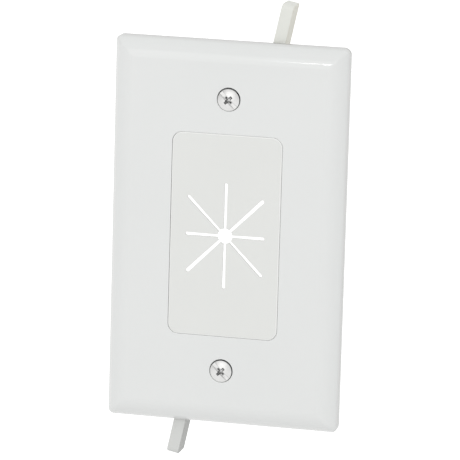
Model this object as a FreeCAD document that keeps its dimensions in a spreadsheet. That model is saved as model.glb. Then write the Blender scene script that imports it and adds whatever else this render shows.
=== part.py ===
import FreeCAD, Part
import math
import os
import Sketcher

# Single-gang cable pass-through wall plate.
#
# X runs to the right of someone who faces the plate, Z runs up, and the face looks along -Y.
# The origin is the middle of the plate's back rim, in the plane of the wall. What stands in
# front of the wall is measured as a distance ahead of that plane, and what goes into the wall
# as a distance behind it. All sizes are in millimetres.

SIZES = [
    # face plate, outside
    ("plate_width", 69.85),
    ("plate_height", 114.3),
    ("plate_depth", 5.4),
    ("lip_height", 1.5),
    ("bevel_run", 6.0),
    ("corner_radius", 2.2),
    ("mitre_radius", 1.5),
    # face plate, hollow back
    ("plate_wall", 2.0),
    ("hollow_corner", 1.2),
    ("rib_thickness", 1.2),
    ("rib_drop", 0.8),
    ("side_rib_pitch", 24.0),
    ("end_rib_pitch", 13.0),
    # window and the frame behind it that locates the insert
    ("window_gap_side", 0.1),
    ("window_gap_end", 0.05),
    ("window_edge", 0.15),
    ("frame_wall", 1.4),
    ("frame_gap", 0.2),
    ("frame_drop", 0.5),
    # rubber insert
    ("insert_width", 32.8),
    ("insert_height", 60.3),
    ("insert_corner", 3.0),
    ("insert_edge", 0.3),
    ("insert_rim", 2.2),
    ("web_thickness", 0.8),
    ("flange_thickness", 1.2),
    ("flange_side", 4.2),
    ("flange_end", 2.6),
    # star in the insert
    ("star_hole_diameter", 4.5),
    ("slit_width_inner", 0.7),
    ("slit_width_outer", 0.95),
    ("slit_reach_upright", 15.7),
    ("slit_reach_level", 11.8),
    ("slit_reach_diagonal", 16.0),
    # staked pins that hold the insert's flange
    ("stake_diameter", 1.8),
    ("stake_clearance", 0.15),
    ("stake_head_diameter", 3.2),
    ("stake_head_height", 0.7),
    ("stake_pitch", 22.0),
    # screws and their seats
    ("screw_margin", 10.35),
    ("counterbore_diameter", 7.0),
    ("counterbore_depth", 1.8),
    ("counterbore_edge", 0.2),
    ("screw_hole_diameter", 4.0),
    ("boss_wall", 1.8),
    ("head_diameter", 6.5),
    ("head_height", 2.4),
    ("head_rim", 1.6),
    ("head_edge", 0.4),
    ("shank_diameter", 3.5),
    ("shank_length", 38.1),
    ("shank_chamfer", 0.5),
    ("drive_reach", 1.6),
    ("drive_arm_width", 1.0),
    ("drive_depth", 1.6),
    ("drive_floor_share", 0.4),
    ("slot_width", 0.8),
    ("slot_depth", 0.7),
    ("drive_turn", 45.0),
    # clamp wings
    ("wing_gap", 0.3),
    ("wing_depth", 7.3),
    ("wing_hub_diameter", 9.0),
    ("wing_hub_collar", 2.0),
    ("thread_clearance", 0.05),
    ("leg_width", 4.0),
    ("flag_offset", 9.7),
    ("flag_width", 3.7),
    ("flag_reach", 30.4),
    ("flag_tilt", 11.5),
    ("wing_corner", 1.8),
    ("tip_radius", 1.7),
    ("wing_edge", 0.35),
    # curved guides that stop the wings
    ("guide_length", 20.0),
    ("guide_wall", 1.5),
    ("guide_gap", 0.4),
    ("stop_gap", 0.3),
]

# Sizes that follow from the ones above.
FACE_BACK = "(Sizes.plate_depth - Sizes.plate_wall)"
BEVEL_DROP = "(Sizes.plate_depth - Sizes.lip_height)"
BEVEL_SLOPE = f"({BEVEL_DROP} / Sizes.bevel_run)"
BEVEL_RADIUS = f"((Sizes.bevel_run ^ 2 + {BEVEL_DROP} ^ 2) / (2 * {BEVEL_DROP}))"
BEVEL_WALL = f"(Sizes.plate_wall * sqrt(1 + {BEVEL_SLOPE} ^ 2))"
HOLLOW_INSET = f"(({FACE_BACK} - Sizes.lip_height + {BEVEL_WALL}) / {BEVEL_SLOPE})"
WINDOW_WIDTH = "(Sizes.insert_width + 2 * Sizes.window_gap_side)"
WINDOW_HEIGHT = "(Sizes.insert_height + 2 * Sizes.window_gap_end)"
FLANGE_WIDTH = "(Sizes.insert_width + 2 * Sizes.flange_side)"
FLANGE_HEIGHT = "(Sizes.insert_height + 2 * Sizes.flange_end)"
FLANGE_CORNER = "(Sizes.insert_corner + Sizes.flange_end)"
FRAME_INNER_WIDTH = f"({FLANGE_WIDTH} + 2 * Sizes.frame_gap)"
FRAME_INNER_HEIGHT = f"({FLANGE_HEIGHT} + 2 * Sizes.frame_gap)"
FRAME_INNER_CORNER = f"({FLANGE_CORNER} + Sizes.frame_gap)"
INSERT_BACK = f"({FACE_BACK} - Sizes.flange_thickness)"
STAKE_OFFSET = "((Sizes.insert_width + Sizes.flange_side) / 2 + Sizes.window_gap_side / 2)"
SCREW_PLACE = "(Sizes.insert_height / 2 + Sizes.screw_margin)"
SEAT = "(Sizes.plate_depth - Sizes.counterbore_depth)"
BOSS_RADIUS = "(Sizes.counterbore_diameter / 2 + Sizes.boss_wall)"
GUIDE_INNER = "(Sizes.wing_hub_diameter / 2 + Sizes.guide_gap)"
GUIDE_OUTER = f"({GUIDE_INNER} + Sizes.guide_wall)"
STOP_DISTANCE = "(Sizes.leg_width / 2 + Sizes.stop_gap)"
RIB_ROOT = "(Sizes.plate_wall / 3)"

# The two signs of what is mirrored or turned about the middle, and the three rows of stakes.
BOTH_SIDES = ("", "-")
STAKE_ROWS = ("-Sizes.stake_pitch", "0", "Sizes.stake_pitch")
RIB_COUNT = 3

# How far the outline of a cut reaches past the block that it cuts.
WASTE_MARGIN = "1"

# How near two coordinates must be to count as the same one.
NEAR = 0.01

# Numbers by which a sketch knows its own origin, its axes and the points of a line or an arc.
ORIGIN_POINT = (-1, 1)
AXIS_X, AXIS_Y = range(-1, -3, -1)
START, END, CENTRE = range(1, 4)


def write_sizes(doc):
    """Put every size into the spreadsheet, one row each, under its own name."""
    sheet = doc.addObject("Spreadsheet::Sheet", "Sizes")
    for row, (name, value) in enumerate(SIZES, start=1):
        sheet.set(f"A{row}", name)
        sheet.set(f"B{row}", str(value))
        sheet.setAlias(f"B{row}", name)
    doc.recompute()


def number(owner, expression):
    """The present value of a size expression."""
    return float(owner.evalExpression(expression))


# Sketches

def new_sketch(body, name, role="XZ_Plane", ahead="0", turn=0.0):
    """A sketch on one of the body's own planes, moved along its normal and turned about it.

    On the XZ plane the sketch's x is X, its y is Z, and its normal points out of the face.
    """
    sketch = body.newObject("Sketcher::SketchObject", name)
    plane = next(item for item in body.Origin.OriginFeatures if item.Role == role)
    sketch.AttachmentSupport = (plane, [""])
    sketch.MapMode = "FlatFace"
    turned = FreeCAD.Rotation(FreeCAD.Vector(0, 0, 1), turn)
    sketch.AttachmentOffset = FreeCAD.Placement(FreeCAD.Vector(0, 0, 0), turned)
    sketch.setExpression("AttachmentOffset.Base.z", ahead)
    return sketch


def bind(sketch, expression, kind, *where):
    """Add a dimension to a sketch and tie its value to a size expression."""
    index = sketch.addConstraint(Sketcher.Constraint(kind, *where, number(sketch, expression)))
    sketch.setExpression(f"Constraints[{index}]", expression)


def tie_point(sketch, geometry, point, x, y):
    """Tie one point of a sketch to its x and y, each a size expression or 0 for the axis."""
    if x == "0":
        sketch.addConstraint(Sketcher.Constraint("PointOnObject", geometry, point, AXIS_Y))
    else:
        bind(sketch, x, "DistanceX", *ORIGIN_POINT, geometry, point)
    if y == "0":
        sketch.addConstraint(Sketcher.Constraint("PointOnObject", geometry, point, AXIS_X))
    else:
        bind(sketch, y, "DistanceY", *ORIGIN_POINT, geometry, point)


def join(sketch, kind, first, first_point, second, second_point):
    """Make two ends meet, with kind Coincident, or meet smoothly, with kind Tangent."""
    sketch.addConstraint(Sketcher.Constraint(kind, first, first_point, second, second_point))


def flat_vector(x, y):
    return FreeCAD.Vector(x, y, 0)


def draw_arc(sketch, centre, radius, start, end):
    """An arc that runs anticlockwise between two angles in radians."""
    ring = Part.Circle(centre, FreeCAD.Vector(0, 0, 1), radius)
    return sketch.addGeometry(Part.ArcOfCircle(ring, start, end))


def draw_circle(sketch, radius, x="0", y="0"):
    centre = flat_vector(number(sketch, x), number(sketch, y))
    size = number(sketch, radius)
    ring = sketch.addGeometry(Part.Circle(centre, FreeCAD.Vector(0, 0, 1), size))
    bind(sketch, radius, "Radius", ring)
    tie_point(sketch, ring, CENTRE, x, y)


def draw_polygon(sketch, corners):
    """A closed outline of straight lines through corners given as pairs of expressions."""
    places = [flat_vector(number(sketch, x), number(sketch, y)) for x, y in corners]
    sides = []
    for index, place in enumerate(places):
        following = places[(index + 1) % len(places)]
        sides.append(sketch.addGeometry(Part.LineSegment(place, following)))
    for index, side in enumerate(sides):
        join(sketch, "Coincident", side, END, sides[(index + 1) % len(sides)], START)
        tie_point(sketch, side, START, *corners[index])


def draw_box(sketch, width, height):
    """A sharp rectangle about the sketch's origin."""
    x, y = f"{width} / 2", f"{height} / 2"
    draw_polygon(sketch, [(f"-{x}", f"-{y}"), (x, f"-{y}"), (x, y), (f"-{x}", y)])


def draw_rounded_box(sketch, width, height, radius):
    """A rectangle with round corners about the sketch's origin."""
    half_x = number(sketch, width) / 2
    half_y = number(sketch, height) / 2
    round_size = number(sketch, radius)
    centres = []
    for sign_x, sign_y in ((1, 1), (-1, 1), (-1, -1), (1, -1)):
        centres.append(flat_vector(sign_x * (half_x - round_size), sign_y * (half_y - round_size)))
    arcs = []
    sides = []
    for quarter, centre in enumerate(centres):
        start = quarter * math.pi / 2
        end = start + math.pi / 2
        out = flat_vector(math.cos(end), math.sin(end)) * round_size
        arcs.append(draw_arc(sketch, centre, round_size, start, end))
        side = Part.LineSegment(centre + out, centres[(quarter + 1) % 4] + out)
        sides.append(sketch.addGeometry(side))
    for quarter in range(4):
        join(sketch, "Tangent", arcs[quarter], END, sides[quarter], START)
        join(sketch, "Tangent", sides[quarter], END, arcs[(quarter + 1) % 4], START)
        direction = "Horizontal" if quarter % 2 == 0 else "Vertical"
        sketch.addConstraint(Sketcher.Constraint(direction, sides[quarter]))
    for arc in arcs[1:]:
        sketch.addConstraint(Sketcher.Constraint("Equal", arcs[0], arc))
    bind(sketch, radius, "Radius", arcs[0])
    bind(sketch, width, "DistanceX", sides[1], START, sides[3], START)
    bind(sketch, height, "DistanceY", sides[2], START, sides[0], START)
    middle = Sketcher.Constraint("Symmetric", arcs[0], CENTRE, arcs[2], CENTRE, *ORIGIN_POINT)
    sketch.addConstraint(middle)


# Features

def new_body(doc, name):
    body = doc.addObject("PartDesign::Body", name)
    body.Label = name
    return body


def pad(body, sketch, name, length, back=False):
    """Raise a sketch along its normal, or backwards."""
    feature = body.newObject("PartDesign::Pad", name)
    feature.Profile = sketch
    feature.setExpression("Length", length)
    feature.Reversed = back
    return feature


def pad_both_ways(body, sketch, name, length):
    feature = pad(body, sketch, name, length)
    feature.SideType = "Symmetric"
    return feature


def cut(body, sketch, name, length, forward=False):
    """Cut a sketch into the body against its normal, or along it."""
    feature = body.newObject("PartDesign::Pocket", name)
    feature.Profile = sketch
    feature.setExpression("Length", length)
    feature.Reversed = forward
    return feature


def cut_through(body, sketch, name):
    feature = body.newObject("PartDesign::Pocket", name)
    feature.Profile = sketch
    feature.Type = "ThroughAll"
    return feature


def cut_loft(body, name, first, second):
    """Cut a straight-sided loft between two sketches out of the body."""
    feature = body.newObject("PartDesign::SubtractiveLoft", name)
    feature.Profile = first
    feature.Sections = [second]
    feature.Ruled = True
    return feature


def turn_copies(body, features, name, count):
    """Copies of features, spread evenly about the body's Y axis."""
    pattern = body.newObject("PartDesign::PolarPattern", name)
    axis = next(item for item in body.Origin.OriginFeatures if item.Role == "Y_Axis")
    pattern.Originals = features
    pattern.Axis = (axis, [""])
    pattern.Angle = 360
    pattern.Occurrences = count
    body.Tip = pattern
    return pattern


def row_copies(body, feature, name, role, length, count):
    """Copies of one feature in a row along one of the body's axes, over a given length."""
    pattern = body.newObject("PartDesign::LinearPattern", name)
    axis = next(item for item in body.Origin.OriginFeatures if item.Role == role)
    pattern.Originals = [feature]
    pattern.Direction = (axis, [""])
    pattern.setExpression("Length", length)
    pattern.Occurrences = count
    body.Tip = pattern
    return pattern


def round_edges(body, name, radius, wanted):
    """Fillet the edges of the body's last feature that pass the test.

    The points that a shape keeps as edges without length have no ends to test.
    """
    base = body.Tip
    feature = body.newObject("PartDesign::Fillet", name)
    names = []
    for index, edge in enumerate(base.Shape.Edges, start=1):
        if not edge.Degenerated and wanted(edge):
            names.append(f"Edge{index}")
    feature.Base = (base, names)
    feature.setExpression("Radius", radius)
    return feature


def ends_of(edge):
    return [vertex.Point for vertex in edge.Vertexes]


def runs_front_to_back(edge):
    """True for an edge that goes through the thickness of a plate."""
    ends = ends_of(edge)
    return abs(ends[0].y - ends[-1].y) > NEAR


def lies_at_depth(edge, y):
    return all(abs(point.y - y) < NEAR for point in ends_of(edge))


# Face plate

def draw_bevel_waste(sketch, side, edge, place):
    """Outline of what the bevel takes off a square block, along one edge of the plate.

    The bevel is an arc that starts level with the face and steepens down to the lip. Points are
    (across, ahead) pairs, and place turns a pair into the sketch's own x and y.
    """
    run_in = f"({edge} - Sizes.bevel_run)"
    past_edge = f"({edge} + {WASTE_MARGIN})"
    past_face = f"(Sizes.plate_depth + {WASTE_MARGIN})"
    outline = [
        (edge, "Sizes.lip_height"),
        (past_edge, "Sizes.lip_height"),
        (past_edge, past_face),
        (run_in, past_face),
        (run_in, "Sizes.plate_depth"),
    ]
    corners = [place(side + across, ahead) for across, ahead in outline]
    places = [flat_vector(number(sketch, x), number(sketch, y)) for x, y in corners]
    lines = [sketch.addGeometry(Part.LineSegment(*ends)) for ends in zip(places, places[1:])]
    centre_x, centre_y = place(side + run_in, f"(Sizes.plate_depth - {BEVEL_RADIUS})")
    centre = flat_vector(number(sketch, centre_x), number(sketch, centre_y))
    to_lip, to_face = places[0] - centre, places[-1] - centre
    at_lip = math.atan2(to_lip.y, to_lip.x)
    at_face = math.atan2(to_face.y, to_face.x)
    towards_lip = math.sin(at_lip - at_face) > 0
    ends = (at_face, at_lip) if towards_lip else (at_lip, at_face)
    arc = draw_arc(sketch, centre, number(sketch, BEVEL_RADIUS), *ends)
    face_end, lip_end = (START, END) if towards_lip else (END, START)
    for first, second in zip(lines, lines[1:]):
        join(sketch, "Coincident", first, END, second, START)
    for line, corner in zip(lines, corners):
        tie_point(sketch, line, START, *corner)
    tie_point(sketch, lines[-1], END, *corners[-1])
    join(sketch, "Coincident", arc, lip_end, lines[0], START)
    join(sketch, "Coincident", arc, face_end, lines[-1], END)
    bind(sketch, BEVEL_RADIUS, "Radius", arc)


def add_shell(doc, body):
    """Outside of the plate: round corners, a low lip and curved bevels that meet in mitres.

    A mitre is the only kind of edge here that leaves the flat face, and it is rounded.
    """
    block = new_sketch(body, "plate_outline")
    draw_rounded_box(block, "Sizes.plate_width", "Sizes.plate_height", "Sizes.corner_radius")
    pad(body, block, "block", "Sizes.plate_depth")
    sides = new_sketch(body, "side_bevel_waste", role="XY_Plane")
    ends = new_sketch(body, "end_bevel_waste", role="YZ_Plane")
    for side in BOTH_SIDES:
        draw_bevel_waste(sides, side, "(Sizes.plate_width / 2)", lambda x, ahead: (x, f"-{ahead}"))
        draw_bevel_waste(ends, side, "(Sizes.plate_height / 2)", lambda z, ahead: (f"-{ahead}", z))
    for name, sketch in (("side_bevels", sides), ("end_bevels", ends)):
        bevels = cut_through(body, sketch, name)
        bevels.SideType = "Symmetric"
    doc.recompute()
    face = -number(body, "Sizes.plate_depth")

    def is_mitre(edge):
        return sum(abs(end.y - face) < NEAR for end in ends_of(edge)) == 1

    round_edges(body, "mitres", "Sizes.mitre_radius", is_mitre)


def add_hollow(body):
    """Hollow back, whose sloped side follows the chord of the curved bevel outside."""
    back = new_sketch(body, "hollow_back")
    inset = "2 * Sizes.plate_wall"
    sides = (f"(Sizes.plate_width - {inset})", f"(Sizes.plate_height - {inset})")
    draw_rounded_box(back, *sides, "Sizes.hollow_corner")
    front = new_sketch(body, "hollow_front", ahead=FACE_BACK)
    inset = f"2 * {HOLLOW_INSET}"
    sides = (f"(Sizes.plate_width - {inset})", f"(Sizes.plate_height - {inset})")
    draw_rounded_box(front, *sides, "Sizes.hollow_corner")
    cut_loft(body, "hollow", back, front)


def rib_outline(inner, outer):
    """Side view of a rib from the frame to the sloped wall, as (across, ahead) pairs.

    Its far end is rooted inside the wall.
    """
    slope = f"({HOLLOW_INSET} - Sizes.plate_wall) / {FACE_BACK}"
    near = f"({outer} - Sizes.plate_wall - Sizes.rib_drop * {slope} + {RIB_ROOT})"
    far = f"({outer} - {HOLLOW_INSET} + {RIB_ROOT})"
    back = "Sizes.rib_drop"
    return [(inner, back), (near, back), (far, FACE_BACK), (inner, FACE_BACK)]


def add_ribs(body):
    """Ribs from the insert's frame to the rim, a row on each side and a row at each end."""
    inner = f"({FRAME_INNER_WIDTH} / 2 + Sizes.frame_wall / 2)"
    outline = rib_outline(inner, "Sizes.plate_width / 2")
    side = new_sketch(body, "side_rib", role="XY_Plane", ahead="-Sizes.side_rib_pitch")
    draw_polygon(side, [(x, f"-{ahead}") for x, ahead in outline])
    draw_polygon(side, [(f"-{x}", f"-{ahead}") for x, ahead in outline])
    first = pad_both_ways(body, side, "side_ribs", "Sizes.rib_thickness")
    side_span = f"{RIB_COUNT - 1} * Sizes.side_rib_pitch"
    row_copies(body, first, "side_rib_row", "Z_Axis", side_span, RIB_COUNT)

    inner = f"({FRAME_INNER_HEIGHT} / 2 + Sizes.frame_wall / 2)"
    outline = rib_outline(inner, "Sizes.plate_height / 2")
    end = new_sketch(body, "end_rib", role="YZ_Plane", ahead="-Sizes.end_rib_pitch")
    draw_polygon(end, [(f"-{ahead}", z) for z, ahead in outline])
    draw_polygon(end, [(f"-{ahead}", f"-{z}") for z, ahead in outline])
    first = pad_both_ways(body, end, "end_ribs", "Sizes.rib_thickness")
    end_span = f"{RIB_COUNT - 1} * Sizes.end_rib_pitch"
    row_copies(body, first, "end_rib_row", "X_Axis", end_span, RIB_COUNT)


def add_window(doc, body):
    """Window through the face, and the low frame behind it that locates the insert."""
    ring = new_sketch(body, "frame_ring", ahead="Sizes.frame_drop")
    wall = "2 * Sizes.frame_wall"
    outer_corner = f"({FRAME_INNER_CORNER} + Sizes.frame_wall)"
    outer = (f"({FRAME_INNER_WIDTH} + {wall})", f"({FRAME_INNER_HEIGHT} + {wall})")
    draw_rounded_box(ring, *outer, outer_corner)
    draw_rounded_box(ring, FRAME_INNER_WIDTH, FRAME_INNER_HEIGHT, FRAME_INNER_CORNER)
    pad(body, ring, "insert_frame", f"{FACE_BACK} - Sizes.frame_drop")
    opening = new_sketch(body, "window_outline", ahead="Sizes.plate_depth")
    corner = "(Sizes.insert_corner + Sizes.window_gap_end)"
    draw_rounded_box(opening, WINDOW_WIDTH, WINDOW_HEIGHT, corner)
    cut_through(body, opening, "window")
    doc.recompute()
    face = -number(body, "Sizes.plate_depth")
    limit = number(body, WINDOW_WIDTH) / 2 + NEAR

    def is_window_edge(edge):
        return lies_at_depth(edge, face) and all(abs(end.x) < limit for end in ends_of(edge))

    round_edges(body, "window_edge", "Sizes.window_edge", is_window_edge)


def add_stakes(body):
    """Six pins through the insert's flange, with heads spread over it by heat."""
    pins = new_sketch(body, "stake_pins", ahead=INSERT_BACK)
    heads = new_sketch(body, "stake_heads", ahead=f"{INSERT_BACK} - Sizes.stake_head_height")
    for side in BOTH_SIDES:
        for z in STAKE_ROWS:
            draw_circle(pins, "Sizes.stake_diameter / 2", side + STAKE_OFFSET, z)
            draw_circle(heads, "Sizes.stake_head_diameter / 2", side + STAKE_OFFSET, z)
    pad(body, pins, "stakes", "Sizes.flange_thickness")
    pad(body, heads, "stake_caps", "Sizes.stake_head_height")


def draw_guide(sketch):
    """The part of a tube round the wing's hub that the wing's leg never sweeps.

    One of its flat ends stops the leg when the wing is out, the other when it is folded away.
    """
    centre = flat_vector(0, number(sketch, SCREW_PLACE))
    tilt = math.radians(number(sketch, "Sizes.flag_tilt"))
    stop = number(sketch, STOP_DISTANCE)
    along = flat_vector(math.cos(tilt), -math.sin(tilt))
    below = flat_vector(-math.sin(tilt), -math.cos(tilt))
    folded_ends = []
    open_ends = []
    arcs = []
    for radius in (GUIDE_INNER, GUIDE_OUTER):
        size = number(sketch, radius)
        reach = math.sqrt(size**2 - stop**2)
        folded_end = flat_vector(-reach, -stop)
        open_end = below * stop + along * reach
        start = math.atan2(folded_end.y, folded_end.x)
        end = math.atan2(open_end.y, open_end.x)
        arc = draw_arc(sketch, centre, size, start, end)
        bind(sketch, radius, "Radius", arc)
        tie_point(sketch, arc, CENTRE, "0", SCREW_PLACE)
        folded_ends.append(centre + folded_end)
        open_ends.append(centre + open_end)
        arcs.append(arc)
    folded_stop = sketch.addGeometry(Part.LineSegment(*folded_ends))
    open_stop = sketch.addGeometry(Part.LineSegment(*open_ends))
    for line, arc_end in ((folded_stop, START), (open_stop, END)):
        join(sketch, "Coincident", line, START, arcs[0], arc_end)
        join(sketch, "Coincident", line, END, arcs[1], arc_end)
    sketch.addConstraint(Sketcher.Constraint("Horizontal", folded_stop))
    bind(sketch, STOP_DISTANCE, "Distance", arcs[0], CENTRE, folded_stop)
    bind(sketch, STOP_DISTANCE, "Distance", arcs[0], CENTRE, open_stop)
    bind(sketch, "-Sizes.flag_tilt * 1deg", "Angle", AXIS_X, START, open_stop, START)


def add_bosses(body):
    """A boss behind each screw hole, and the curved guide that stops its wing."""
    disc = new_sketch(body, "boss_outline")
    draw_circle(disc, BOSS_RADIUS, y=SCREW_PLACE)
    boss = pad(body, disc, "boss", FACE_BACK)
    curve = new_sketch(body, "guide_outline", ahead="-Sizes.guide_length")
    draw_guide(curve)
    guide = pad(body, curve, "guide", f"{FACE_BACK} + Sizes.guide_length")
    turn_copies(body, [boss, guide], "lower_boss_and_guide", 2)


def add_screw_holes(doc, body):
    """Counterbored holes that the screw heads sink into."""
    seats = new_sketch(body, "counterbores", ahead="Sizes.plate_depth")
    holes = new_sketch(body, "screw_holes", ahead="Sizes.plate_depth")
    for side in BOTH_SIDES:
        draw_circle(seats, "Sizes.counterbore_diameter / 2", y=side + SCREW_PLACE)
        draw_circle(holes, "Sizes.screw_hole_diameter / 2", y=side + SCREW_PLACE)
    cut(body, seats, "seats", "Sizes.counterbore_depth")
    cut_through(body, holes, "holes")
    doc.recompute()
    face = -number(body, "Sizes.plate_depth")
    radius = number(body, "Sizes.counterbore_diameter / 2")

    def is_seat_edge(edge):
        if not isinstance(edge.Curve, Part.Circle) or not lies_at_depth(edge, face):
            return False
        return abs(edge.Curve.Radius - radius) < NEAR

    round_edges(body, "seat_edges", "Sizes.counterbore_edge", is_seat_edge)


def make_face_plate(doc):
    body = new_body(doc, "face_plate")
    add_shell(doc, body)
    add_hollow(body)
    add_ribs(body)
    add_window(doc, body)
    add_stakes(body)
    add_bosses(body)
    add_screw_holes(doc, body)
    return body


# Rubber insert

def add_slits(body, name, reach, turn, count):
    """Slits from the middle of the star, a little wider at their round outer ends."""
    sketch = new_sketch(body, f"{name}_outline", ahead="Sizes.plate_depth", turn=turn)
    inner = "Sizes.slit_width_inner / 2"
    outer = "Sizes.slit_width_outer / 2"
    straight = f"({reach} - {outer})"
    corners = [(f"-{outer}", straight), (f"-{inner}", "0"), (inner, "0"), (outer, straight)]
    places = [flat_vector(number(sketch, x), number(sketch, y)) for x, y in corners]
    sides = [sketch.addGeometry(Part.LineSegment(*ends)) for ends in zip(places, places[1:])]
    centre = flat_vector(0, number(sketch, straight))
    cap = draw_arc(sketch, centre, number(sketch, outer), 0, math.pi)
    for first, second in zip(sides, sides[1:]):
        join(sketch, "Coincident", first, END, second, START)
    join(sketch, "Coincident", cap, START, sides[-1], END)
    join(sketch, "Coincident", cap, END, sides[0], START)
    for side, corner in zip(sides, corners):
        tie_point(sketch, side, START, *corner)
    tie_point(sketch, sides[-1], END, *corners[-1])
    bind(sketch, straight, "DistanceY", *ORIGIN_POINT, cap, CENTRE)
    first = cut_through(body, sketch, name)
    turn_copies(body, [first], f"{name}_ring", count)


def make_flexible_insert(doc):
    """One rubber moulding: a thin slit web in a thick rim, with a flange behind the window."""
    body = new_body(doc, "flexible_insert")
    flange = new_sketch(body, "flange_outline", ahead=INSERT_BACK)
    draw_rounded_box(flange, FLANGE_WIDTH, FLANGE_HEIGHT, FLANGE_CORNER)
    pad(body, flange, "flange", "Sizes.flange_thickness")
    plug = new_sketch(body, "plug_outline", ahead=FACE_BACK)
    draw_rounded_box(plug, "Sizes.insert_width", "Sizes.insert_height", "Sizes.insert_corner")
    pad(body, plug, "plug", "Sizes.plate_wall")
    doc.recompute()
    face = -number(body, "Sizes.plate_depth")
    round_edges(body, "plug_edge", "Sizes.insert_edge", lambda edge: lies_at_depth(edge, face))

    hollow = new_sketch(body, "web_outline", ahead=INSERT_BACK)
    rim = "2 * Sizes.insert_rim"
    sides = (f"(Sizes.insert_width - {rim})", f"(Sizes.insert_height - {rim})")
    draw_rounded_box(hollow, *sides, "Sizes.insert_corner")
    depth = "Sizes.plate_wall + Sizes.flange_thickness - Sizes.web_thickness"
    cut(body, hollow, "web_hollow", depth, forward=True)

    holes = new_sketch(body, "stake_holes", ahead=FACE_BACK)
    size = "(Sizes.stake_diameter / 2 + Sizes.stake_clearance)"
    for side in BOTH_SIDES:
        for z in STAKE_ROWS:
            draw_circle(holes, size, side + STAKE_OFFSET, z)
    cut_through(body, holes, "stake_clearances")

    middle = new_sketch(body, "star_hole_outline", ahead="Sizes.plate_depth")
    draw_circle(middle, "Sizes.star_hole_diameter / 2")
    cut_through(body, middle, "star_hole")
    add_slits(body, "upright_slits", "Sizes.slit_reach_upright", 0.0, 2)
    add_slits(body, "level_slits", "Sizes.slit_reach_level", 90.0, 2)
    add_slits(body, "diagonal_slits", "Sizes.slit_reach_diagonal", 45.0, 4)
    return body


# Screws

def draw_cross(sketch, share):
    """A cross with four square-ended arms, drawn at a share of the recess's full size."""
    arm = f"({share} * Sizes.drive_arm_width / 2)"
    reach = f"({share} * Sizes.drive_reach)"
    right = [(reach, f"-{arm}"), (reach, arm)]
    top = [(arm, arm), (arm, reach), (f"-{arm}", reach)]
    left = [(f"-{arm}", arm), (f"-{reach}", arm), (f"-{reach}", f"-{arm}")]
    bottom = [(f"-{arm}", f"-{arm}"), (f"-{arm}", f"-{reach}"), (arm, f"-{reach}")]
    draw_polygon(sketch, right + top + left + bottom + [(arm, f"-{arm}")])


def add_drive(body):
    """Cross recess that narrows towards its floor, and a slot across the whole head."""
    mouth = new_sketch(body, "cross_mouth", ahead="Sizes.head_height")
    draw_cross(mouth, "1")
    floor = new_sketch(body, "cross_floor", ahead="Sizes.head_height - Sizes.drive_depth")
    draw_cross(floor, "Sizes.drive_floor_share")
    cut_loft(body, "cross", mouth, floor)
    slot = new_sketch(body, "slot_outline", ahead="Sizes.head_height")
    past_the_head = "(2 * Sizes.head_diameter)"
    draw_box(slot, past_the_head, "Sizes.slot_width")
    cut(body, slot, "slot", "Sizes.slot_depth")


def draw_half_section(sketch):
    """Half of the screw's lengthwise section: chamfered shank, flat seat, rim and domed crown."""
    head = "(Sizes.head_diameter / 2)"
    shank = "(Sizes.shank_diameter / 2)"
    shank_end = "(Sizes.shank_length - Sizes.shank_chamfer)"
    corners = [
        ("0", "-Sizes.head_height"),
        ("0", "Sizes.shank_length"),
        (f"({shank} - Sizes.shank_chamfer)", "Sizes.shank_length"),
        (shank, shank_end),
        (shank, "0"),
        (head, "0"),
        (head, "-Sizes.head_rim"),
    ]
    places = [flat_vector(number(sketch, x), number(sketch, y)) for x, y in corners]
    sides = [sketch.addGeometry(Part.LineSegment(*ends)) for ends in zip(places, places[1:])]
    rise = "(Sizes.head_height - Sizes.head_rim)"
    dome = f"(({head} ^ 2 + {rise} ^ 2) / (2 * {rise}))"
    dome_size = number(sketch, dome)
    dome_centre = flat_vector(0, places[0].y + dome_size)
    edge_angle = math.atan2(places[-1].y - dome_centre.y, places[-1].x)
    crown = draw_arc(sketch, dome_centre, dome_size, -math.pi / 2, edge_angle)
    for first, second in zip(sides, sides[1:]):
        join(sketch, "Coincident", first, END, second, START)
    join(sketch, "Coincident", crown, START, sides[0], START)
    join(sketch, "Coincident", crown, END, sides[-1], END)
    for line, corner in zip(sides, corners):
        tie_point(sketch, line, START, *corner)
    tie_point(sketch, sides[-1], END, *corners[-1])
    bind(sketch, dome, "Radius", crown)


def make_screw(doc, name, side):
    """Machine screw with a domed pan head; its seat is level with the counterbore's floor."""
    body = new_body(doc, name)
    sketch = new_sketch(body, "half_section", role="XY_Plane")
    draw_half_section(sketch)
    turned = body.newObject("PartDesign::Revolution", "turned")
    turned.Profile = sketch
    turned.ReferenceAxis = (sketch, ["V_Axis"])
    turned.Angle = 360
    doc.recompute()
    rim = -number(body, "Sizes.head_rim")
    round_edges(body, "head_edge", "Sizes.head_edge", lambda edge: lies_at_depth(edge, rim))
    add_drive(body)
    place_on_axis(body, side, f"-{SEAT}", "Sizes.drive_turn")
    return body


def place_on_axis(body, side, y, turn):
    """Put a body that was made about the origin on the upper or the lower screw's axis."""
    half_turn = "0" if side == "" else "180"
    about_axis = FreeCAD.Rotation(FreeCAD.Vector(0, 1, 0), number(body, turn))
    body.Placement = FreeCAD.Placement(FreeCAD.Vector(0, 0, 0), about_axis)
    body.setExpression("Placement.Base.y", y)
    body.setExpression("Placement.Base.z", side + SCREW_PLACE)
    body.setExpression("Placement.Rotation.Angle", f"({half_turn} + {turn}) * 1deg")


# Clamp wings

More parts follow.
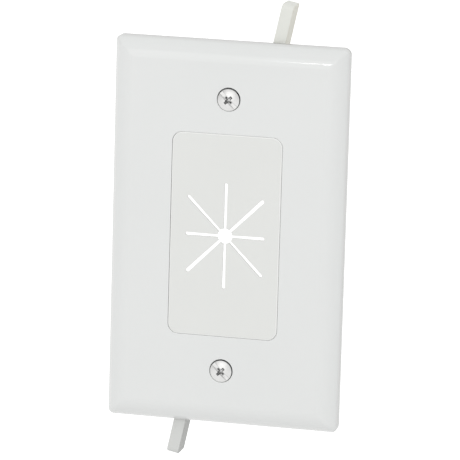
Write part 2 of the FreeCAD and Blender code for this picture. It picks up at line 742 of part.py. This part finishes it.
def round_wing(doc, body, leg, inner, outer):
    """Round the bends between leg and flag, the front of the tip and the flag's front edges."""
    tip = number(body, "Sizes.flag_reach")
    flag_sides = [number(body, inner), number(body, outer)]
    bends = [(flag_sides[0], number(body, leg)), (flag_sides[1], -number(body, leg))]

    def is_bend(edge):
        ends = [(end.x, end.z) for end in ends_of(edge)]
        return any(all(math.dist(end, bend) < NEAR for end in ends) for bend in bends)

    def is_tip_front(edge):
        return lies_at_depth(edge, 0) and all(abs(end.z - tip) < NEAR for end in ends_of(edge))

    def is_flag_front(edge):
        ends = ends_of(edge)
        if not lies_at_depth(edge, 0) or abs(ends[0].z - ends[-1].z) < NEAR:
            return False
        return any(all(abs(end.x - x) < NEAR for end in ends) for x in flag_sides)

    doc.recompute()
    round_edges(body, "bends", "Sizes.wing_corner", is_bend)
    doc.recompute()
    round_edges(body, "tip_front", "Sizes.tip_radius", is_tip_front)
    doc.recompute()
    round_edges(body, "flag_front", "Sizes.wing_edge", is_flag_front)


def make_wing(doc, name, side):
    """Moulded wing: a hub threaded on the screw, a leg beside it and a long flag.

    It is drawn with its leg along X and its flag along Z, then tilted as it stands when out.
    """
    body = new_body(doc, name)
    outline = new_sketch(body, "leg_and_flag")
    leg = "(Sizes.leg_width / 2)"
    inner = "(Sizes.flag_offset - Sizes.flag_width / 2)"
    outer = "(Sizes.flag_offset + Sizes.flag_width / 2)"
    tip = "Sizes.flag_reach"
    foot = [("0", leg), ("0", f"-{leg}"), (outer, f"-{leg}")]
    draw_polygon(outline, foot + [(outer, tip), (inner, tip), (inner, leg)])
    pad(body, outline, "arm", "Sizes.wing_depth", back=True)
    round_wing(doc, body, leg, inner, outer)

    disc = new_sketch(body, "hub_outline")
    draw_circle(disc, "Sizes.wing_hub_diameter / 2")
    pad(body, disc, "hub", "Sizes.wing_depth + Sizes.wing_hub_collar", back=True)
    bore = new_sketch(body, "bore_outline")
    draw_circle(bore, "Sizes.shank_diameter / 2 + Sizes.thread_clearance")
    cut_through(body, bore, "bore")
    place_on_axis(body, side, "Sizes.wing_gap", "Sizes.flag_tilt")
    return body


def check_document(doc, bodies):
    """Stop if any feature failed or any body isn't one valid solid."""
    for item in doc.Objects:
        if "Invalid" in item.State or "Error" in item.State:
            raise RuntimeError(f"{item.Label} failed: {item.State}")
    for body in bodies:
        shape = body.Shape
        if shape.isNull() or not shape.isValid() or len(shape.Solids) != 1:
            raise RuntimeError(f"{body.Label} is not one valid solid")
        print(f"{body.Label}: {shape.Volume:.1f} mm3, {len(shape.Faces)} faces")


def main():
    doc = FreeCAD.newDocument("cable_wall_plate")
    write_sizes(doc)
    bodies = [
        make_face_plate(doc),
        make_flexible_insert(doc),
        make_screw(doc, "upper_screw", ""),
        make_screw(doc, "lower_screw", "-"),
        make_wing(doc, "upper_wing", ""),
        make_wing(doc, "lower_wing", "-"),
    ]
    doc.recompute()
    check_document(doc, bodies)
    os.makedirs("parts", exist_ok=True)
    for body in bodies:
        body.Shape.exportStep(f"parts/{body.Label}.step")


main()
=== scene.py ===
import math
import bpy
import numpy as np
from mathutils import Matrix, Vector


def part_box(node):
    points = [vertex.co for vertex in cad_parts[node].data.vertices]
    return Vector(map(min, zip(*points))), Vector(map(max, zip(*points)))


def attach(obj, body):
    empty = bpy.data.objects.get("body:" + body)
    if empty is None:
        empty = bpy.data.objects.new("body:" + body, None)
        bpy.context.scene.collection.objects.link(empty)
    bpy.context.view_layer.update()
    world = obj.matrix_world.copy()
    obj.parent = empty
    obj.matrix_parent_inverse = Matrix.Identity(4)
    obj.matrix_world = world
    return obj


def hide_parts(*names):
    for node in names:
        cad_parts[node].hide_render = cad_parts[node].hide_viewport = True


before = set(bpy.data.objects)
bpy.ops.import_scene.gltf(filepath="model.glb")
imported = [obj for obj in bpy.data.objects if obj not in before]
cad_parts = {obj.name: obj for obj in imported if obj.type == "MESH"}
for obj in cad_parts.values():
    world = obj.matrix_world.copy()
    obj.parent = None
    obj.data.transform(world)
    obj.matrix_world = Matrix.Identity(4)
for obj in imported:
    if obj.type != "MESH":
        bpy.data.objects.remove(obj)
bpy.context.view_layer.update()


# Camera.
# It stands a little over a metre off, to the right of the plate and above it, with a long lens,
# so that the plate's sides stay nearly parallel.

picture_side = 460
focal_length = 3858.1
camera_place = (0.250175, -1.078019, 0.234620)
camera_right = Vector((0.97242647, 0.2315034, 0.02815896))
camera_up = Vector((-0.07468871, 0.19476941, 0.97800126))
camera_back = Vector((0.22092611, -0.95313748, 0.20668962))
camera_data = bpy.data.cameras.new("camera")
camera_data.sensor_width = 36.0
camera_data.lens = focal_length / picture_side * camera_data.sensor_width
camera_data.clip_start = 0.05
camera_data.clip_end = 30.0
camera = bpy.data.objects.new("camera", camera_data)
camera_turn = Matrix((camera_right, camera_up, camera_back)).transposed().to_4x4()
camera.matrix_world = Matrix.Translation(camera_place) @ camera_turn
bpy.context.collection.objects.link(camera)
bpy.context.scene.camera = camera
bpy.context.scene.view_settings.view_transform = "Standard"


# Studio.
# A wide white floor under the plate and a room that is white in front and behind, with grey
# walls at the sides that draw the thin dark outline of a white object. A large soft lamp stands
# beside the camera, and a small one gives the glossy crest its short bright streak.

nodes_in_a_row = 8
node_spacing = (220, 320)


def add_node(tree, kind, **settings):
    """Adds a node and sets its properties. Nodes stand in rows, in the order in which they come."""
    row, column = divmod(len(tree.nodes), nodes_in_a_row)
    node = tree.nodes.new(kind)
    node.location = (column * node_spacing[0], -row * node_spacing[1])
    for name, value in settings.items():
        setattr(node, name, value)
    return node


def feed(tree, socket, source):
    """Links a socket to another node's output, or sets it to a number."""
    if isinstance(source, bpy.types.NodeSocket):
        tree.links.new(source, socket)
    else:
        socket.default_value = source


def maths(tree, operation, first, second=0.0):
    """Output of a maths node."""
    node = add_node(tree, "ShaderNodeMath", operation=operation)
    feed(tree, node.inputs[0], first)
    feed(tree, node.inputs[1], second)
    return node.outputs[0]


def scaled(tree, value, start, end, low=0.0, high=1.0):
    """A value brought to a new range: low up to start, high from end on, even in between."""
    node = add_node(tree, "ShaderNodeMapRange")
    sources = (value, start, end, low, high)
    for name, source in zip(("Value", "From Min", "From Max", "To Min", "To Max"), sources):
        feed(tree, node.inputs[name], source)
    return node.outputs["Result"]


def axis_parts(tree, coordinates):
    """The X, Y and Z of one of the texture coordinates."""
    place = add_node(tree, "ShaderNodeTexCoord")
    parts = add_node(tree, "ShaderNodeSeparateXYZ")
    tree.links.new(place.outputs[coordinates], parts.inputs["Vector"])
    return parts.outputs


left_wall_level = 0.76
right_wall_level = 0.92
room_level = 0.92
world = bpy.data.worlds.new("studio_room")
world.use_nodes = True
bpy.context.scene.world = world
tree = world.node_tree
background = tree.nodes["Background"]
background.inputs["Color"].default_value = (1.0, 1.0, 1.0, 1.0)
path = add_node(tree, "ShaderNodeLightPath")
seen = maths(tree, "MAXIMUM", path.outputs["Is Camera Ray"], path.outputs["Is Transmission Ray"])
level = scaled(tree, path.outputs["Is Glossy Ray"], 0.0, 1.0, room_level, 1.0)
direction = axis_parts(tree, "Generated")
side_level = scaled(tree, direction["X"], -1.0, 1.0, left_wall_level, right_wall_level)
walls = scaled(tree, maths(tree, "ABSOLUTE", direction["Y"]), 0.0, 1.0, side_level, 1.0)
strength = scaled(tree, seen, 0.0, 1.0, maths(tree, "MULTIPLY", level, walls), 1.0)
tree.links.new(strength, background.inputs["Strength"])

floor_height = -0.2
floor_reach = 8.0
floor_tone = (0.8, 0.8, 0.8, 1.0)
floor_lift = 0.6
floor_mesh = bpy.data.meshes.new("floor")
corners = [(-1, -1), (1, -1), (1, 1), (-1, 1)]
floor_points = [(x * floor_reach, y * floor_reach, floor_height) for x, y in corners]
floor_mesh.from_pydata(floor_points, [], [(0, 1, 2, 3)])
floor = bpy.data.objects.new("floor", floor_mesh)
bpy.context.collection.objects.link(floor)
floor_material = bpy.data.materials.new("white_floor")
floor_material.use_nodes = True
tree = floor_material.node_tree
tree.nodes.remove(tree.nodes["Principled BSDF"])
matt = add_node(tree, "ShaderNodeBsdfDiffuse")
matt.inputs["Color"].default_value = floor_tone
path = add_node(tree, "ShaderNodeLightPath")
seen = maths(tree, "MAXIMUM", path.outputs["Is Camera Ray"], path.outputs["Is Glossy Ray"])
seen = maths(tree, "MAXIMUM", seen, path.outputs["Is Transmission Ray"])
glow = add_node(tree, "ShaderNodeEmission")
tree.links.new(maths(tree, "MULTIPLY", seen, floor_lift), glow.inputs["Strength"])
both = add_node(tree, "ShaderNodeAddShader")
tree.links.new(matt.outputs[0], both.inputs[0])
tree.links.new(glow.outputs[0], both.inputs[1])
tree.links.new(both.outputs[0], tree.nodes["Material Output"].inputs["Surface"])
floor_mesh.materials.append(floor_material)


def hang_lamp(name, place, aim, width, height, power, colour):
    """A flat lamp at a place, turned to face a point."""
    lamp_data = bpy.data.lights.new(name, "AREA")
    lamp_data.shape = "RECTANGLE"
    lamp_data.size = width
    lamp_data.size_y = height
    lamp_data.energy = power
    lamp_data.color = colour
    lamp = bpy.data.objects.new(name, lamp_data)
    facing = (Vector(aim) - Vector(place)).to_track_quat("-Z", "Y")
    lamp.matrix_world = Matrix.Translation(place) @ facing.to_matrix().to_4x4()
    bpy.context.collection.objects.link(lamp)


hang_lamp(
    "soft_box", place=(-0.12, -1.42, 0.44), aim=(0.0, 0.0, 0.0),
    width=1.2, height=1.0, power=3.2, colour=(1.0, 0.99, 0.975))
hang_lamp(
    "strip_lamp", place=(-0.2484, -1.298, 0.507), aim=(0.027, -0.005, 0.053),
    width=0.014, height=0.1, power=0.16, colour=(1.0, 1.0, 1.0))


# Face plate.
# One injection moulding in glossy white plastic. Its shape is the solid's own. The skin shows the
# faint waviness of a polished mould. The bevel's foot, the rim's side and the seats get painted
# shade.

plate_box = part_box("face_plate")
plate_half_width, plate_half_height = plate_box[1][0], plate_box[1][2]
plate_corner = 0.0022
plate_front = 0.0054
lip_height = 0.0015
bevel_foot_reach = 0.0013
bevel_foot_shade_tone = (0.72, 0.725, 0.715)
rim_side_reach = 0.0003
rim_side_shade_tone = (0.49, 0.49, 0.475)
tone_fade = 0.0001
screw_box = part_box("upper_screw")
screw_offset = (screw_box[0][2] + screw_box[1][2]) / 2.0
# The seat round each screw head gets painted shade, set by these sizes and this tone.
seat_radius = 0.0035
seat_radius_fade = 0.00003
seat_dark_from, seat_dark_to = 0.0001, 0.0004
gap_narrow_end, gap_wide_end = -0.0030, 0.0015
seat_shade_tone = (0.37, 0.38, 0.39)


def new_group(name, inputs, outputs):
    """A node group with number sockets, and the sockets inside it.

    inputs maps each input's name to its first value.
    """
    group = bpy.data.node_groups.new(name, "ShaderNodeTree")
    for socket_name, value in inputs.items():
        socket = group.interface.new_socket(
            socket_name, in_out="INPUT", socket_type="NodeSocketFloat")
        socket.default_value = value
    for socket_name in outputs:
        group.interface.new_socket(socket_name, in_out="OUTPUT", socket_type="NodeSocketFloat")
    given = add_node(group, "NodeGroupInput").outputs
    wanted = add_node(group, "NodeGroupOutput").inputs
    return group, given, wanted


def use_group(tree, group, **values):
    """A group placed in a tree; a value's name is its socket's, with _ for each space."""
    node = add_node(tree, "ShaderNodeGroup", node_tree=group)
    for name, value in values.items():
        node.inputs[name.replace("_", " ")].default_value = value
    return node.outputs


def build_skin_group():
    """A moulded skin: its fine grain as a height, and slow patches as a mask."""
    group, given, wanted = new_group(
        "moulded_skin", {"Grain per metre": 900.0, "Patches per metre": 40.0}, ("Grain", "Patches"))
    place = add_node(group, "ShaderNodeTexCoord")
    grain = add_node(group, "ShaderNodeTexNoise")
    grain.inputs["Detail"].default_value = 4.0
    grain.inputs["Roughness"].default_value = 0.55
    patches = add_node(group, "ShaderNodeTexNoise")
    patches.inputs["Detail"].default_value = 2.0
    for texture, name in ((grain, "Grain"), (patches, "Patches")):
        group.links.new(place.outputs["Object"], texture.inputs["Vector"])
        group.links.new(given[name + " per metre"], texture.inputs["Scale"])
        group.links.new(texture.outputs["Fac"], wanted[name])
    return group


def build_edge_group():
    """Mask of what lies near the outline of a rounded rectangle about the origin, seen from ahead.

    It is 0 up to one distance inside the outline and 1 from another on. How far out a point is
    follows from how far it lies beyond the middles of the corners, which is their radius on the
    outline itself.
    """
    group, given, wanted = new_group(
        "outline_edge",
        {"Half width": 0.03, "Half height": 0.05, "Corner": 0.002,
         "Starts": 0.0003, "Full": 0.0001},
        ("Mask",))
    place = axis_parts(group, "Object")
    beyond = []
    for axis, half_size in (("X", "Half width"), ("Z", "Half height")):
        folded = maths(group, "ABSOLUTE", place[axis])
        corner_middle = maths(group, "SUBTRACT", given[half_size], given["Corner"])
        past = maths(group, "MAXIMUM", maths(group, "SUBTRACT", folded, corner_middle), 0.0)
        beyond.append(maths(group, "POWER", past, 2.0))
    outwards = maths(group, "SQRT", maths(group, "ADD", *beyond))
    starts = maths(group, "SUBTRACT", given["Corner"], given["Starts"])
    full = maths(group, "SUBTRACT", given["Corner"], given["Full"])
    group.links.new(scaled(group, outwards, starts, full), wanted["Mask"])
    return group


skin_group = build_skin_group()
edge_group = build_edge_group()


def grained_material(name, low_tone, high_tone, roughness, grain, patches, depth, specular=0.5):
    """A skin whose tone and roughness drift with the patches, and whose grain is a bump.

    roughness is its range over the patches, grain and patches are counts per metre, and depth
    is the bump's height in metres.
    """
    material = bpy.data.materials.new(name)
    material.use_nodes = True
    tree = material.node_tree
    shader = tree.nodes["Principled BSDF"]
    skin = use_group(tree, skin_group, Grain_per_metre=grain, Patches_per_metre=patches)
    tone = add_node(tree, "ShaderNodeMix", data_type="RGBA")
    tone.inputs["A"].default_value = (*low_tone, 1.0)
    tone.inputs["B"].default_value = (*high_tone, 1.0)
    bump = add_node(tree, "ShaderNodeBump")
    bump.inputs["Distance"].default_value = depth
    tree.links.new(skin["Patches"], tone.inputs["Factor"])
    tree.links.new(skin["Grain"], bump.inputs["Height"])
    tree.links.new(tone.outputs["Result"], shader.inputs["Base Color"])
    tree.links.new(
        scaled(tree, skin["Patches"], 0.0, 1.0, *roughness), shader.inputs["Roughness"])
    tree.links.new(bump.outputs["Normal"], shader.inputs["Normal"])
    shader.inputs["Specular IOR Level"].default_value = specular
    return material


def repaint(material, colour, mask):
    """Gives a material another colour where the mask, a node's output, is 1."""
    tree = material.node_tree
    base = tree.nodes["Principled BSDF"].inputs["Base Color"]
    repainted = add_node(tree, "ShaderNodeMix", data_type="RGBA")
    repainted.inputs["B"].default_value = (*colour, 1.0)
    tree.links.new(base.links[0].from_socket, repainted.inputs["A"])
    tree.links.new(mask, repainted.inputs["Factor"])
    tree.links.new(repainted.outputs["Result"], base)


plate_gloss = grained_material(
    "glossy_white_moulding", low_tone=(0.80, 0.815, 0.806), high_tone=(0.83, 0.842, 0.836),
    roughness=(0.07, 0.10), grain=700.0, patches=28.0, depth=1.0e-6)
tree = plate_gloss.node_tree
across, depth, upwards = axis_parts(tree, "Object")

# Painted shade: a darker tone on the bevel's foot, just above the rim's side.
shaded_bevel_foot = scaled(tree, depth, -lip_height - bevel_foot_reach, -lip_height - tone_fade)
repaint(plate_gloss, bevel_foot_shade_tone, shaded_bevel_foot)

# Painted shade: a darker tone still on the rim's narrow side, all round the outline.
outermost = use_group(
    tree, edge_group, Half_width=plate_half_width, Half_height=plate_half_height,
    Corner=plate_corner, Starts=rim_side_reach, Full=tone_fade)["Mask"]
below_bevel = scaled(tree, depth, -lip_height - tone_fade, -lip_height + tone_fade)
repaint(plate_gloss, rim_side_shade_tone, maths(tree, "MULTIPLY", outermost, below_bevel))

# The heads lie low and to the left, so the gap round each is wide at the upper right. The seat is
# painted with shade there, darkest at the upper right and gone towards the lower left.
screw_height = maths(tree, "MULTIPLY", maths(tree, "SIGN", upwards), screw_offset)
above_screw = maths(tree, "SUBTRACT", upwards, screw_height)
squares = maths(tree, "POWER", across, 2.0), maths(tree, "POWER", above_screw, 2.0)
from_axis = maths(tree, "SQRT", maths(tree, "ADD", *squares))
in_seat = scaled(tree, from_axis, seat_radius + seat_radius_fade, seat_radius)
below_face = scaled(tree, depth, -plate_front + seat_dark_from, -plate_front + seat_dark_to)
up_and_right = maths(tree, "ADD", across, above_screw)
shaded_wide_side = scaled(tree, up_and_right, gap_narrow_end, gap_wide_end)
seat_shade_mask = maths(tree, "MULTIPLY", maths(tree, "MULTIPLY", in_seat, below_face), shaded_wide_side)
repaint(plate_gloss, seat_shade_tone, seat_shade_mask)
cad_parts["face_plate"].material_slots[0].material = plate_gloss


# Flexible insert.
# A soft rubber moulding held in the window by staked pins. Its matt skin has the fine grain of an
# eroded mould, and its edge is lightened with painted light. In use the points between its slits
# bend aside for a cable; here they keep the solid's shape.

insert_half_width = 0.0164
insert_half_height = 0.03015
insert_corner = 0.003
edge_starts, edge_full = 0.0003, 0.0002
edge_light_tone = (0.97, 0.975, 0.96)
insert_rubber = grained_material(
    "matt_white_rubber", low_tone=(0.81, 0.82, 0.80), high_tone=(0.835, 0.845, 0.825),
    roughness=(0.52, 0.62), grain=2600.0, patches=60.0, depth=9.0e-6, specular=0.35)
# Painted light: the insert's edge next to the gap is made paler.
insert_edge_light_mask = use_group(
    insert_rubber.node_tree, edge_group, Half_width=insert_half_width,
    Half_height=insert_half_height, Corner=insert_corner,
    Starts=edge_starts, Full=edge_full)["Mask"]
repaint(insert_rubber, edge_light_tone, insert_edge_light_mask)
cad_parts["flexible_insert"].material_slots[0].material = insert_rubber


# Clamp wings.
# Tough satin plastic, moulded in one piece with the hub that rides on the screw. The lower wing's
# tones are darker as painted shade, and on both wings the skin that faces right has painted shade.

side_starts, side_full = 0.3, 0.9
# The lower wing's darker front tones and both wings' side tones are painted shade.
wing_and_shade_tones = {
    "upper_wing": ((0.81, 0.82, 0.775), (0.85, 0.86, 0.815), (0.80, 0.79, 0.715)),
    "lower_wing": ((0.70, 0.71, 0.695), (0.74, 0.75, 0.735), (0.50, 0.505, 0.49)),
}


def build_side_shade_group():
    """Mask of the skin that faces right, which gets painted shade: 0 up to one X of its normal, and
    1 from another on.
    """
    group, given, wanted = new_group("painted_side_shade", {"Starts": 0.3, "Full": 0.9}, ("Mask",))
    normal_across = axis_parts(group, "Normal")["X"]
    mask = scaled(group, normal_across, given["Starts"], given["Full"])
    group.links.new(mask, wanted["Mask"])
    return group


side_shade_group = build_side_shade_group()
for wing, (low_tone, high_tone, side_shade_tone) in wing_and_shade_tones.items():
    wing_satin = grained_material(
        wing + "_satin_moulding", low_tone, high_tone,
        roughness=(0.40, 0.50), grain=1500.0, patches=70.0, depth=5.0e-6, specular=0.05)
    side_shade_mask = use_group(
        wing_satin.node_tree, side_shade_group, Starts=side_starts, Full=side_full)["Mask"]
    # Painted shade on the skin that faces right.
    repaint(wing_satin, side_shade_tone, side_shade_mask)
    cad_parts[wing].material_slots[0].material = wing_satin


# Screws.
# Nickel-plated machine screws, cold headed with a cross recess and a slot, with a rolled
# right-hand thread. They are captive: the head sits in its counterbore, the wing on the thread.

seat_floor = 0.0036
head_radius = 0.0033
head_rim = 0.0016
head_height = 0.0024
rim_round = 0.0002
cross_reach = 0.0016
cross_half_arm = 0.0004
cross_middle = 0.0012
cross_depth = 0.0016
cross_floor_share = 0.4
slot_half_width = 0.0005
slot_depth = 0.0007
slot_wall_slope = 12.0
# Where and how much painted shade lies in the cross recess and along each edge of the slot.
slot_line = 0.0006
slot_line_reach = 0.00012
slot_line_fade = 0.00008
shade_on_slot_edges = 0.5
shade_in_cross = 0.45
shade_full_depth = 0.3 * cross_depth
end_shade_starts, end_shade_fade = 0.5, 0.3
recess_shade_strength = 0.5
recess_shade_tone = (0.05, 0.055, 0.065)
drive_turn = math.radians(45.0)
shank_radius = 0.00175
shank_length = screw_box[1][1] + seat_floor
thread_pitch = 0.000794
thread_depth = 0.00047
thread_flat = 0.12
plain_neck = 0.0012
inside_head = 0.0003
tip_chamfer = 0.0002
head_off_axis = (0.00008, 0.00018)


def head_dome():
    """The dome's radius and the place of its middle.

    The dome is a sphere through the top and the rim's upper edge.
    """
    rise = head_height - head_rim
    dome = (head_radius ** 2 + rise ** 2) / (2.0 * rise)
    return dome, head_height - dome


def head_side(dome, dome_middle, rows=9):
    """(radius, height) from the dome's edge to the rim's foot: a rounding and a straight side.

    The rounding's centre lies on the dome's sphere drawn in by the rounding's radius, and as far
    in from the straight side.
    """
    edge_radius = head_radius - rim_round
    edge_height = dome_middle + math.sqrt((dome - rim_round) ** 2 - edge_radius ** 2)
    meeting = math.asin(edge_radius / (dome - rim_round))
    round_edge = np.linspace(meeting, math.pi / 2.0, rows)
    side = np.linspace(edge_height, 0.0, rows)[1:]
    round_radius = edge_radius + rim_round * np.sin(round_edge)
    round_height = edge_height + rim_round * np.cos(round_edge)
    radius = np.append(round_radius, np.full(len(side), head_radius))
    return radius, np.append(round_height, side)


def cross_height(across, along):
    """Height of the cross's floor and walls over a point of the head.

    The cross is two bars and a square that stands on its corner in their middle. It shrinks
    evenly with depth, so a point's depth follows from the share of the full cross that it lies
    on, the smallest of the three shapes' shares. A bar's share is the larger of the point's
    distances over the bar's half length and half width, and the square's is their sum over the
    square's reach.
    """
    size_across, size_along = np.abs(across), np.abs(along)
    one_bar = np.maximum(size_across / cross_reach, size_along / cross_half_arm)
    other_bar = np.maximum(size_across / cross_half_arm, size_along / cross_reach)
    square = (size_across + size_along) / cross_middle
    share = np.minimum(np.minimum(one_bar, other_bar), square)
    share = np.maximum(share, cross_floor_share)
    return head_height - cross_depth * (1.0 - share) / (1.0 - cross_floor_share)


def ring_faces(rows):
    """Quads between rings; each row of numbers goes once round a ring."""
    following = np.roll(rows, -1, axis=1)
    return np.stack((rows[:-1], rows[1:], following[1:], following[:-1]), -1).reshape(-1, 4)


def cap_faces(ring, middle):
    """Triangles between a ring's points and one point in its middle."""
    return np.stack((np.full(len(ring), middle), np.roll(ring, -1), ring), -1)


def grid_lines(edge, in_slot=8, beside_cross=28, beyond_cross=20):
    """Distances of the grid's lines from the middle, close together where the recess has walls.

    Beyond the cross they follow the sine of evenly spaced angles, so that they crowd at the edge.
    """
    wall = slot_half_width + slot_depth / slot_wall_slope
    inner = np.linspace(0.0, slot_half_width, in_slot)
    arm = np.linspace(wall, cross_reach, beside_cross)
    angles = np.linspace(math.asin(cross_reach / edge), math.pi / 2.0, beyond_cross)[1:-1]
    half = np.concatenate((inner, arm, edge * np.sin(angles)))
    return np.concatenate((-half[:0:-1], half))


def head_grid(edge, kept_beyond_cross=1.2, kept_of_line=0.8):
    """The places of a grid over the head's round top, with its lines laid along the slot.

    A point's place along its line is kept near the middle, and beyond the cross it is drawn in to
    the end of the line, on the dome's edge.
    """
    lines = grid_lines(edge)
    across, along = np.meshgrid(lines, lines, indexing="ij")
    line_end = np.sqrt(edge ** 2 - across ** 2)
    kept = np.minimum(kept_beyond_cross * cross_reach, kept_of_line * line_end)
    share = (np.abs(along) - kept) / (lines[-1] - kept)
    spread = kept + np.clip(share, 0.0, 1.0) * (line_end - kept)
    return across, np.sign(along) * np.where(np.abs(along) < kept, np.abs(along), spread)


def head_recess_shade(across, along, depth_in_cross):
    """How much painted shade lies at a point of the head, from 0 to 1.

    In the cross it sets in below the top and grows towards the ends of the arms. Along each edge
    of the slot it is a thin line of painted shade, greatest at a set distance from the middle.
    """
    below_top = np.clip(depth_in_cross / shade_full_depth, 0.0, 1.0)
    from_middle = np.hypot(across, along) / cross_reach
    towards_end = np.clip((from_middle - end_shade_starts) / end_shade_fade, 0.0, 1.0)
    in_cross = below_top * (shade_in_cross + (1.0 - shade_in_cross) * towards_end)
    from_slot_line = np.abs(np.abs(across) - slot_line)
    on_slot_line = np.clip((slot_line_reach - from_slot_line) / slot_line_fade, 0.0, 1.0)
    return np.maximum(in_cross, shade_on_slot_edges * on_slot_line)


def head_surface():
    """The head: a grid over its round top, rings down its side and a flat underside.

    A height on the top is the dome's, or the recess's where that is lower. The slot's walls rise
    evenly from its floor. The rings keep the outline of the grid's edge.
    """
    dome, dome_middle = head_dome()
    side_radius, side_height = head_side(dome, dome_middle)
    edge = side_radius[0]
    across, along = head_grid(edge)
    top = dome_middle + np.sqrt(dome ** 2 - across ** 2 - along ** 2)
    cross = np.minimum(cross_height(across, along), top)
    slot_floor = head_height - slot_depth
    slot_wall = slot_wall_slope * np.maximum(np.abs(across) - slot_half_width, 0.0)
    height = np.minimum(cross, slot_floor + slot_wall)
    recess_shade = head_recess_shade(across, along, top - cross)

    grid = np.stack((across, along, height), -1).reshape(-1, 3)
    number = np.arange(len(grid)).reshape(across.shape)
    quads = np.stack((number[:-1, :-1], number[1:, :-1], number[1:, 1:], number[:-1, 1:]), -1)
    ends = np.array([(-edge, 0.0, side_height[0]), (edge, 0.0, side_height[0])])
    first_end, last_end = len(grid), len(grid) + 1
    top_points = np.concatenate((grid, ends))
    first_fan = cap_faces(number[0], first_end)[:-1]
    last_fan = cap_faces(number[-1][::-1], last_end)[:-1]

    rim = np.concatenate(([first_end], number[:, 0], [last_end], number[::-1, -1]))
    outline = top_points[rim, :2] / edge
    rings = np.empty((len(side_radius) - 1, len(rim), 3))
    rings[..., :2] = side_radius[1:, None, None] * outline
    rings[..., 2] = side_height[1:, None]
    ring_numbers = len(top_points) + np.arange(rings.size // 3).reshape(-1, len(rim))
    sides = ring_faces(np.concatenate((rim[None, :], ring_numbers)))
    foot = np.array([(0.0, 0.0, 0.0)])
    points = np.concatenate((top_points, rings.reshape(-1, 3), foot))
    base = cap_faces(ring_numbers[-1], len(points) - 1)

    cosine, sine = math.cos(drive_turn), math.sin(drive_turn)
    turned = points.copy()
    turned[:, 0] = points[:, 0] * cosine - points[:, 1] * sine
    turned[:, 1] = points[:, 1] * cosine + points[:, 0] * sine
    faces = [face for part in (quads.reshape(-1, 4), first_fan, last_fan, sides, base)
             for face in part.tolist()]
    return turned, faces, np.append(recess_shade, np.zeros(len(points) - recess_shade.size))


def shank_surface(columns=40, rows_per_turn=12):
    """The threaded shank, from inside the head to its chamfered end.

    A point's radius follows the thread's flanks: a wave that rises and falls once in each pitch
    along the axis and moves on by one pitch in each turn, with its crests and roots cut flat.
    The thread grows out of a plain neck below the head.
    """
    rows = int(shank_length / thread_pitch * rows_per_turn)
    along_axis = np.linspace(-inside_head, shank_length, rows)[:, None]
    angle = np.linspace(0.0, 2.0 * np.pi, columns, endpoint=False)
    phase = (along_axis / thread_pitch - angle / (2.0 * np.pi)) % 1.0
    wave = 1.0 - np.abs(2.0 * phase - 1.0)
    ridge = np.clip((wave - thread_flat) / (1.0 - 2.0 * thread_flat), 0.0, 1.0)
    grown_in = np.clip((along_axis - plain_neck) / thread_pitch, 0.0, 1.0)
    threaded = shank_radius - thread_depth * (1.0 - ridge)
    plain = shank_radius - thread_depth / 2.0
    chamfer = shank_radius - thread_depth - tip_chamfer + (shank_length - along_axis)
    radius = np.minimum(plain + (threaded - plain) * grown_in, chamfer)
    height = np.broadcast_to(-along_axis, radius.shape)
    rings = np.stack((radius * np.sin(angle), radius * np.cos(angle), height), -1).reshape(-1, 3)
    middles = np.array([(0.0, 0.0, inside_head), (0.0, 0.0, -shank_length)])
    numbers = np.arange(len(rings)).reshape(rows, columns)
    caps = cap_faces(numbers[0][::-1], len(rings)), cap_faces(numbers[-1], len(rings) + 1)
    faces = [*ring_faces(numbers)[:, ::-1].tolist(), *caps[0].tolist(), *caps[1].tolist()]
    return np.concatenate((rings, middles)), faces


def screw_mesh(name, side):
    """Head and shank as one mesh; side is 1 for the upper screw and -1 for the lower one.

    The shank runs straight through its wing. The head was struck a little off the shank's axis,
    and lies low and to the left in its seat.
    """
    head_points, head_faces, head_recess_shade = head_surface()
    shank_points, shank_faces = shank_surface()
    moved_faces = [tuple(index + len(head_points) for index in face) for face in shank_faces]
    points = np.concatenate((head_points, shank_points))
    placed = np.stack((
        side * points[:, 0], -seat_floor - points[:, 2],
        side * (points[:, 1] + screw_offset)), -1)
    placed[:len(head_points), [0, 2]] -= head_off_axis
    mesh = bpy.data.meshes.new(name)
    mesh.from_pydata(placed.tolist(), [], head_faces + moved_faces)
    mesh.shade_smooth()
    # This point attribute carries the head's painted shade to the material.
    recess_shade = mesh.attributes.new("recess_shade", "FLOAT", "POINT")
    recess_shade.data.foreach_set("value", np.append(head_recess_shade, np.zeros(len(shank_points))))
    return mesh


nickel = grained_material(
    "nickel_plate", low_tone=(0.56, 0.56, 0.55), high_tone=(0.66, 0.66, 0.655),
    roughness=(0.30, 0.42), grain=2200.0, patches=500.0, depth=4.0e-6)
nickel.node_tree.nodes["Principled BSDF"].inputs["Metallic"].default_value = 1.0
# Painted shade: the head darkens where the attribute is high, in the cross and along the slot.
recess_shade = add_node(nickel.node_tree, "ShaderNodeAttribute", attribute_name="recess_shade")
recess_shade_mask = maths(nickel.node_tree, "MULTIPLY", recess_shade.outputs["Fac"], recess_shade_strength)
repaint(nickel, recess_shade_tone, recess_shade_mask)
for node, side in (("upper_screw", 1), ("lower_screw", -1)):
    name = node + "_plated"
    screw = bpy.data.objects.new(name, screw_mesh(name, side))
    bpy.context.collection.objects.link(screw)
    screw.data.materials.append(nickel)
    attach(screw, node)
    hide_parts(node)
